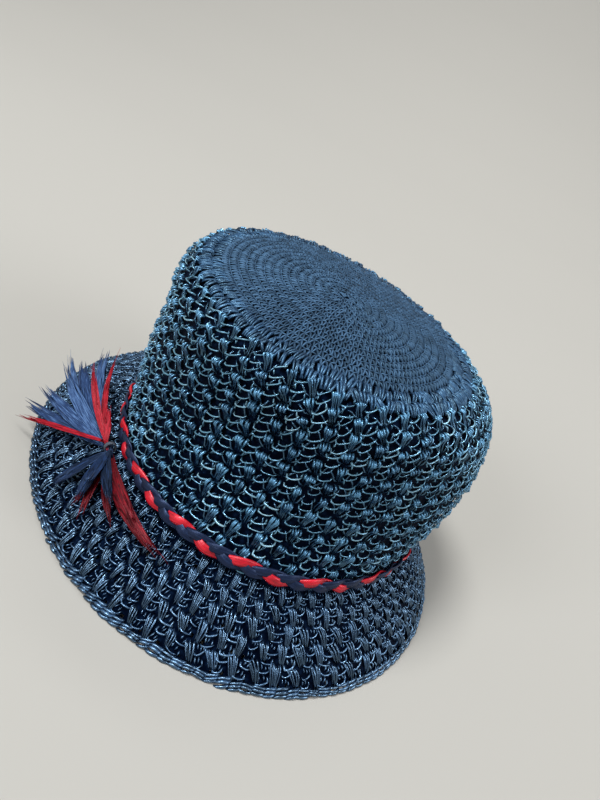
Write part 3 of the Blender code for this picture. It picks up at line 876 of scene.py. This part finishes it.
def edge_stitch(seed):
    draw = random.Random(seed)
    parts = ([], [], [])
    for y, rise in ((-1.3, 0.5), (0.0, 1.0), (1.2, 0.4)):
        wave = draw.uniform(-0.4, 0.4)
        path = [
            (-3.2, y - 0.8, -0.3), (-1.6, y - 0.3 + wave, rise), (0.4, y + 0.1 + wave, rise + 0.2),
            (2.0, y + 0.4, rise), (3.2, y + 0.9, -0.3),
        ]
        add_strip(parts, path, [0.9, 1.3, 1.5, 1.3, 0.9], [0.8, 1.1, 1.2, 1.1, 0.8])
    return strip_mesh("edge_stitch", parts)


brim_edge = work_rounds(
    "brim_edge",
    round_places(brim_at, BRIM_LENGTH - 4.8 * MM, BRIM_LENGTH - 1.0 * MM, 1, EDGE_STITCHES,
                 EDGE_PITCH, EDGE_HEIGHT, wander=0.2, sink=0.4 * MM, seed=5),
    [edge_stitch(seed) for seed in range(6)], navy_brim, seed=37, turn=12.0, spread=0.16,
)
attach(brim_edge, "root")
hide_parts("brim")

# The plaited band: three strands of folded ribbon, one red and two navy, that swing up and
# down the crown's foot and pass over and under each other, so red shows in leaf-shaped spots.
PLAIT_PERIODS = 17
PLAIT_SWING = 1.75 * MM
PLAIT_DEPTH = 0.95 * MM
STRAND_WIDTH = 4.1
STRAND_THICKNESS = 1.35
PLAIT_MIDDLE = 3.7 * MM
PLAIT_SEAT = 1.95 * MM
STRAND_STEPS = 24
PLAIT_PHASE = math.radians(54.0)
STRAND_PLEATS = 14
STRAND_PLUMP = 0.14
PLEAT_CM = 0.06


def strand_mesh(name, phase, seed):
    """One closed loop of a fluted flat ribbon, following the plait."""
    draw = random.Random(seed)
    flutes = [draw.uniform(0.80, 1.0) if k % 2 else draw.uniform(0.95, 1.1) for k in range(STRAND_PLEATS)]
    section = []
    for k, flute in enumerate(flutes):
        a = 2.0 * math.pi * k / STRAND_PLEATS
        wide, thick = STRAND_WIDTH * math.cos(a), STRAND_THICKNESS * math.sin(a)
        section.append((0.5 * wide * flute, 0.5 * thick * flute))
    count = PLAIT_PERIODS * STRAND_STEPS
    spots = []
    for i in range(count):
        angle = 2.0 * math.pi * i / count
        turn = 2.0 * math.pi * i / STRAND_STEPS + phase
        height = PLAIT_MIDDLE + PLAIT_SWING * math.sin(turn)
        place, out, up, _ = frame_at(crown_at, CROWN_LENGTH - height, angle)
        spots.append((place + out * (PLAIT_SEAT + PLAIT_DEPTH * math.sin(2.0 * turn)), out, turn))
    vertices, faces, uvs = [], [], []
    run = 0.0
    for i, (place, out, turn) in enumerate(spots):
        ahead = (spots[(i + 1) % count][0] - spots[i - 1][0]).normalized()
        across = ahead.cross(out).normalized()
        lift = across.cross(ahead).normalized()
        plump = 1.0 + STRAND_PLUMP * math.sin(2.0 * turn)
        for a, b in section:
            vertices.append(place + (across * a + lift * b) * MM * plump)
    lengths = [(spots[(i + 1) % count][0] - spots[i][0]).length * 100.0 for i in range(count)]
    for i in range(count):
        for k in range(STRAND_PLEATS):
            j = (k + 1) % STRAND_PLEATS
            low, high = i * STRAND_PLEATS, ((i + 1) % count) * STRAND_PLEATS
            faces.append((low + k, high + k, high + j, low + j))
            u0, u1 = k * PLEAT_CM, (k + 1) * PLEAT_CM
            uvs.append([(u0, run), (u0, run + lengths[i]), (u1, run + lengths[i]), (u1, run)])
        run += lengths[i]
    return strip_mesh(name, (vertices, faces, uvs), 1.0)


# Folded flat and plaited, the ribbon has an even satin gloss in both colours.
RED = {"deep": "58030f", "face": "b0061c", "glint": "e81c38"}
BAND_NAVY = {"deep": "060a16", "face": "0e162b", "glint": "24324f"}
red_band = raffia_material("viscose_raffia_red_plaited", rough=0.36, tint="ff9aa0", ior=1.6, **RED)
navy_band = raffia_material("viscose_raffia_navy_plaited", rough=0.40, ior=1.4, tint="8fa6d8", **BAND_NAVY)
STRANDS = (
    ("band_strand_red", red_band),
    ("band_strand_navy_a", navy_band),
    ("band_strand_navy_b", navy_band),
)
for i, (node, material) in enumerate(STRANDS):
    mesh = strand_mesh(node + "_ribbon", PLAIT_PHASE + 2.0 * math.pi * i / len(STRANDS), seed=i)
    mesh.materials.append(material)
    strand = add_object(node + "_ribbon", mesh)
    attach(strand, "root")
    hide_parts(node)

# The tassel: short lengths of ribbon folded over a tie, so that they leave it both ways, red
# over navy above it and navy over red below. Each is gathered in pleats at the tie, opens to a
# flat film and has split at its end into teeth.
TASSEL_ANGLE = math.radians(220.0)
TASSEL_SPREAD = 26.0 * MM
WAIST_LENGTH = 12.0 * MM
RIBBON_WIDTH = 5.8
FILM_COLUMNS = 11
FILM_THICKNESS = 0.16
FILM_GATHERED = 0.30
FILM_OPENING = 0.78
TAPER_START = 0.6
TAPER = 0.5
PLEAT_DEPTHS = (0.55, 0.14)
LONG_TEETH = (0.00, 0.14)
SHORT_TEETH = (0.10, 0.26)
STRAY_FIBRES = 5
LAYERS_TOGETHER = 8.5 * MM
KNOT_ABOVE = 4.2 * MM
# Painted shade: the knot's folds and the films below the tie are made darker.
KNOT_PAINTED_SHADE = -1.0
LOWER_PAINTED_SHADE = -1.1
KNOT_FOLD = (
    # along  out
    (-5.5,   1.0),
    (-2.0,   1.8),
    (0.0,    1.9),
    (2.0,    1.8),
    (5.5,    1.0),
)
NAVY_RIBBONS = (
    # around  down   above  width
    (-25.0,    0.98,  0.56,  1.25),
    (-28.0,    0.80,  0.68,  1.35),
    (-33.0,    0.62,  0.80,  1.30),
    (-42.0,    0.72,  0.78,  1.10),
    (-38.0,    0.52,  0.80,  1.30),
    (-43.0,    0.38,  0.72,  1.10),
    (-41.0,    0.30,  0.82,  0.80),
    (5.0,      0.80,  0.12,  1.20),
    (16.0,     0.57,  0.42,  1.20),
    (13.0,     0.42,  0.48,  1.20),
    (22.0,     0.32,  0.44,  1.00),
)
RED_RIBBONS = (
    # around  down   above  width
    (-20.0,    0.98,  0.50,  0.55),
    (-27.0,    0.25,  0.96,  0.70),
    (-38.0,    0.15,  0.84,  0.60),
    (-11.0,    0.06,  0.60,  0.70),
    (15.0,     0.62,  0.30,  0.90),
    (19.0,     0.62,  0.28,  0.90),
    (25.0,     0.42,  0.30,  1.00),
    (30.0,     0.26,  0.30,  1.30),
    (41.0,     0.32,  0.30,  1.20),
)
BLADE_STEPS = 10
TASSEL_SEAT = 0.156


def over_brim(down, angle, above):
    point, out, _, _ = frame_at(brim_at, down * BRIM_LENGTH, angle)
    return point + out * above


TASSEL_OUT = frame_at(brim_at, TASSEL_SEAT * BRIM_LENGTH, TASSEL_ANGLE)[1]
TASSEL_ALONG = Vector((-math.sin(TASSEL_ANGLE), math.cos(TASSEL_ANGLE), 0.0))
TASSEL_ASIDE = TASSEL_OUT.cross(TASSEL_ALONG).normalized()


def ribbon_spots(around, down, above, seat_above):
    side = 1.0 if around >= 0.0 else -1.0
    waist = WAIST_LENGTH / CROWN_RADIUS
    spots = [over_brim(TASSEL_SEAT, TASSEL_ANGLE - side * waist * 0.2, seat_above)]
    for i in range(BLADE_STEPS):
        share = i / (BLADE_STEPS - 1)
        angle = TASSEL_ANGLE + between(side * 0.3 * waist, math.radians(around), share)
        lift = between(seat_above, above * TASSEL_SPREAD, share ** 1.3)
        spots.append(over_brim(between(TASSEL_SEAT, down, share), angle, lift))
    return spots


def tassel_mesh(name, rows, seat_above, folds, seed):
    """Pleated films that widen from the tie and end in uneven teeth, with a few stray fibres.

    The folds are the ribbon doubled up round the knot, made darker with painted shade. Each film has a
    tone of its own, and those below the tie, which hang in the shade of the others, are made darker with
    painted shade.
    """
    draw = random.Random(seed)
    parts = ([], [], [])
    vertices, faces, uvs = parts
    tones_and_painted_shade = []
    for around, down, above, width in rows:
        seat = seat_above if around < 0.0 else LAYERS_TOGETHER - seat_above
        spots = ribbon_spots(around, down, above, seat)
        last = len(spots) - 1
        full = RIBBON_WIDTH * width
        base = len(vertices)
        cup = draw.uniform(-1.2, 1.2)
        ripple = draw.uniform(0.0, 6.0)
        columns = []
        for k in range(FILM_COLUMNS):
            u = k / (FILM_COLUMNS - 1) - 0.5
            reach = 1.0 - draw.uniform(*(LONG_TEETH if k % 2 else SHORT_TEETH))
            pleat = (-1.0 if k % 2 else 1.0) * draw.uniform(0.7, 1.2)
            path = []
            for i in range(last + 1):
                share = i / last
                at = min(share * reach * last, last - 0.001)
                low = int(at)
                place = spots[low].lerp(spots[low + 1], at - low)
                ahead = (spots[low + 1] - spots[low]).normalized()
                across = ahead.cross(TASSEL_OUT).normalized()
                up = across.cross(ahead)
                taper = 1.0 - TAPER * (max(share - TAPER_START, 0.0) / (1.0 - TAPER_START)) ** 2
                opened = FILM_GATHERED + FILM_OPENING * math.sin(0.5 * math.pi * share)
                aside = full * u * opened * taper
                rise = pleat * between(*PLEAT_DEPTHS, share) + cup * share * (4.0 * u * u - 0.4)
                rise += 0.45 * share * math.sin(ripple + 5.0 * u + 4.0 * share)
                path.append((place / MM + across * aside + up * rise, up))
            columns.append(path)
        for skin in (0.0, 1.0):
            for path in columns:
                vertices.extend(spot - up * FILM_THICKNESS * skin for spot, up in path)
        rung = last + 1
        back = FILM_COLUMNS * rung
        gap = full / (FILM_COLUMNS - 1) / 10.0
        climb = (spots[-1] - spots[0]).length * 100.0 / last

        def add_face(corners):
            faces.append(tuple(base + c for c in corners))
            uvs.append([((c % back) // rung * gap + 0.83 * around, c % rung * climb) for c in corners])

        for k in range(FILM_COLUMNS - 1):
            for i in range(last):
                c = k * rung + i
                add_face((c, c + rung, c + rung + 1, c + 1))
                add_face((back + c, back + c + 1, back + c + rung + 1, back + c + rung))
            foot, tip = k * rung, k * rung + last
            add_face((foot, back + foot, back + foot + rung, foot + rung))
            add_face((tip, tip + rung, back + tip + rung, back + tip))
        for i in range(last):
            far = (FILM_COLUMNS - 1) * rung + i
            add_face((i, i + 1, back + i + 1, back + i))
            add_face((far, back + far, back + far + 1, far + 1))
        for _ in range(STRAY_FIBRES):
            path = columns[draw.randrange(FILM_COLUMNS)]
            side = Vector([draw.uniform(-0.8, 0.8) for _ in range(3)])
            a, b, c = path[-4][0], path[-2][0], path[-1][0]
            hair = [a, b + side * 0.5, c + (c - b) * draw.uniform(0.0, 0.9) + side * 1.2]
            add_strip(parts, hair, [0.4, 0.35, 0.12], [0.2, 0.2, 0.1], THREE_SIDED, TASSEL_OUT)
        # Films below the tie get painted shade on top of their random tone.
        tone = (0.0 if around < 0.0 else LOWER_PAINTED_SHADE) + draw.uniform(-0.35, 0.35)
        tones_and_painted_shade.extend([tone] * (len(vertices) - base))
    base = len(vertices)
    middle = over_brim(TASSEL_SEAT, TASSEL_ANGLE, KNOT_ABOVE) / MM
    for k in range(folds):
        a = 2.0 * math.pi * k / folds
        spoke = TASSEL_ASIDE * math.cos(a) + TASSEL_OUT * math.sin(a)
        path = [middle + TASSEL_ALONG * x + spoke * r for x, r in KNOT_FOLD]
        add_strip(parts, path, [0.9, 1.5, 1.6, 1.5, 0.9], [0.6, 1.0, 1.1, 1.0, 0.6], ROUND_TWIST, spoke)
    # The knot's folds get painted shade.
    tones_and_painted_shade.extend([KNOT_PAINTED_SHADE] * (len(vertices) - base))
    mesh = strip_mesh(name, parts)
    layer = mesh.attributes.new("tone", "FLOAT", "POINT")
    layer.data.foreach_set("value", tones_and_painted_shade)
    return mesh


# The film has split into its fibres, so it is duller here than where it is worked. It has painted shade
# near the tie and painted light further out.
tassel_navy_film = raffia_material(
    "viscose_raffia_navy_split_film", rough=0.42, ior=1.38, tone_and_shade_share=0.18, tint="8fb0e0",
    deep="070d1a", face="1c3054", glint="6080aa", painted_end_light=0.06,
)
tassel_red_film = raffia_material(
    "viscose_raffia_red_split_film", rough=0.42, ior=1.35, tone_and_shade_share=0.18, tint="ff9aa0",
    deep="34030b", face="7c0516", glint="cc2034", painted_end_light=0.04,
)
TASSEL_LAYERS = (
    # node           ribbons        seat       folds  film
    ("tassel_navy",  NAVY_RIBBONS,  2.6 * MM,  9,     tassel_navy_film),
    ("tassel_red",   RED_RIBBONS,   5.9 * MM,  0,     tassel_red_film),
)
for node, rows, seat_above, folds, material in TASSEL_LAYERS:
    mesh = tassel_mesh(node + "_blades", rows, seat_above, folds, seed=len(rows))
    mesh.materials.append(material)
    blades = add_object(node + "_blades", mesh)
    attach(blades, "root")
    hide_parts(node)

# The tie: five turns of thin grey sewing thread wound tightly round the waist of the tassel,
# each a little askew.
TIE_TURNS = 5
TIE_THREAD = 0.24 * MM
TIE_RADIUS = 2.9 * MM
TIE_PITCH = 0.45 * MM
TIE_ASKEW = 0.25 * MM
TIE_STEPS = 28
TIE_SIDES = 6
tie_low, tie_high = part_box("tassel_tie")
tie_middle = (tie_low + tie_high) / 2.0
vertices, faces = [], []
for turn in range(TIE_TURNS):
    base = len(vertices)
    for i in range(TIE_STEPS):
        a = 2.0 * math.pi * i / TIE_STEPS
        spoke = TASSEL_ASIDE * math.cos(a) + TASSEL_OUT * math.sin(a)
        slide = (turn - TIE_TURNS // 2) * TIE_PITCH + TIE_ASKEW * math.sin(a + turn)
        for k in range(TIE_SIDES):
            b = 2.0 * math.pi * k / TIE_SIDES
            away = spoke * (TIE_RADIUS + TIE_THREAD * math.cos(b))
            vertices.append(tie_middle + away + TASSEL_ALONG * (slide + TIE_THREAD * math.sin(b)))
    for i in range(TIE_STEPS):
        for k in range(TIE_SIDES):
            j = (k + 1) % TIE_SIDES
            low, high = base + i * TIE_SIDES, base + ((i + 1) % TIE_STEPS) * TIE_SIDES
            faces.append((low + k, high + k, high + j, low + j))
tie_mesh = bpy.data.meshes.new("tassel_tie_thread")
tie_mesh.from_pydata(vertices, [], faces)
tie_mesh.shade_smooth()
# The thread is spun from matt yarns, whose twist shows as fine slanting ridges.
thread = bpy.data.materials.new("grey_sewing_thread_twisted")
thread.use_nodes = True
thread_shader = thread.node_tree.nodes["Principled BSDF"]
thread_shader.inputs["Base Color"].default_value = linear("3c434d")
thread_shader.inputs["Roughness"].default_value = 0.7
thread_place = add_node(thread.node_tree, "ShaderNodeTexCoord")
thread_twist = add_node(thread.node_tree, "ShaderNodeTexWave", {
    "Vector": thread_place.outputs["Object"], "Scale": 900.0, "Distortion": 1.0,
}, bands_direction="DIAGONAL")
thread_bump = add_node(thread.node_tree, "ShaderNodeBump", {
    "Height": thread_twist.outputs["Fac"], "Strength": 0.5, "Distance": 0.1 * MM,
})
thread.node_tree.links.new(thread_bump.outputs["Normal"], thread_shader.inputs["Normal"])
tie_mesh.materials.append(thread)
tie = add_object("tassel_tie_thread", tie_mesh)
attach(tie, "root")
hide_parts("tassel_tie")

# The floor, the light and the camera: pale paper swept up behind the hat, a soft window light
# from the upper left, weaker ones from the front and right, and one that evens out the paper
# behind. The view is from the front and above, with the frame tilted.
SWEEP_START, SWEEP_RADIUS, SWEEP_TOP, SWEEP_HALF = 0.7, 3.0, 5.0, 9.0
SWEEP_STEPS = 12
sweep_line = [(-SWEEP_HALF, 0.0), (SWEEP_START, 0.0)]
for i in range(1, SWEEP_STEPS + 1):
    a = math.pi / 2.0 * i / SWEEP_STEPS
    sweep_line.append((SWEEP_START + SWEEP_RADIUS * math.sin(a), SWEEP_RADIUS * (1.0 - math.cos(a))))
sweep_line.append((SWEEP_START + SWEEP_RADIUS, SWEEP_TOP))
floor_mesh = bpy.data.meshes.new("studio_floor")
floor_mesh.from_pydata(
    [(side * SWEEP_HALF, y, z) for y, z in sweep_line for side in (-1, 1)], [],
    [(2 * i, 2 * i + 1, 2 * i + 3, 2 * i + 2) for i in range(len(sweep_line) - 1)],
)
floor_mesh.shade_smooth()
floor = add_object("studio_floor", floor_mesh)
# The paper is matt and plain, so it shows only the light's own fall-off and the hat's shadow.
paper = bpy.data.materials.new("matt_white_paper")
paper.use_nodes = True
paper_shader = paper.node_tree.nodes["Principled BSDF"]
paper_shader.inputs["Base Color"].default_value = linear("96938c")
paper_shader.inputs["Roughness"].default_value = 0.9
floor_mesh.materials.append(paper)

HAT_MIDDLE = (0.0, 0.0, 0.07)
LIGHTS = (
    # name            place                  lights            size   watts   colour
    ("window_light",  (-0.80, -0.30, 2.40),  HAT_MIDDLE,       0.70,  70.0,   "fbfdff"),
    ("front_fill",    (-1.60, -1.80, 1.50),  HAT_MIDDLE,       1.20,  44.0,   "f4f8ff"),
    ("right_fill",    (1.90, -0.30, 1.40),   HAT_MIDDLE,       1.20,  30.0,   "f4f8ff"),
    ("back_wash",     (0.30, 0.90, 1.90),    (0.6, 2.6, 0.3),  1.20,  28.0,   "fbfdff"),
)
for name, place, target, size, watts, colour in LIGHTS:
    lamp = bpy.data.lights.new(name, "AREA")
    lamp.shape = "DISK"
    lamp.size = size
    lamp.energy = watts
    lamp.color = linear(colour)[:3]
    light = add_object(name, lamp)
    light.location = place
    light.rotation_euler = (Vector(target) - Vector(place)).to_track_quat("-Z", "Y").to_euler()
world = bpy.data.worlds.new("pale_room")
world.use_nodes = True
world.node_tree.nodes["Background"].inputs["Color"].default_value = linear("e4e6ea")
world.node_tree.nodes["Background"].inputs["Strength"].default_value = 0.55
bpy.context.scene.world = world

CAMERA_PLACE = Vector((10.2, -324.6, 261.2)) * MM
CAMERA_PITCH, CAMERA_YAW, CAMERA_ROLL = (math.radians(a) for a in (29.90, -0.28, 27.86))
level_ahead = Vector((0.0, math.cos(CAMERA_PITCH), -math.sin(CAMERA_PITCH)))
level_up = Vector((0.0, math.sin(CAMERA_PITCH), math.cos(CAMERA_PITCH)))
ahead = level_ahead * math.cos(CAMERA_YAW) + Vector((math.sin(CAMERA_YAW), 0.0, 0.0))
right = Vector((math.cos(CAMERA_YAW), 0.0, 0.0)) - level_ahead * math.sin(CAMERA_YAW)
view_x = right * math.cos(CAMERA_ROLL) + level_up * math.sin(CAMERA_ROLL)
view_y = level_up * math.cos(CAMERA_ROLL) - right * math.sin(CAMERA_ROLL)
lens = bpy.data.cameras.new("camera")
lens.lens = 29.89
lens.sensor_width = 36.0
camera = add_object("camera", lens)
camera.matrix_world = Matrix((
    (view_x.x, view_y.x, -ahead.x, CAMERA_PLACE.x),
    (view_x.y, view_y.y, -ahead.y, CAMERA_PLACE.y),
    (view_x.z, view_y.z, -ahead.z, CAMERA_PLACE.z),
    (0.0, 0.0, 0.0, 1.0),
))
bpy.context.scene.camera = camera
bpy.context.scene.view_settings.view_transform = "Standard"
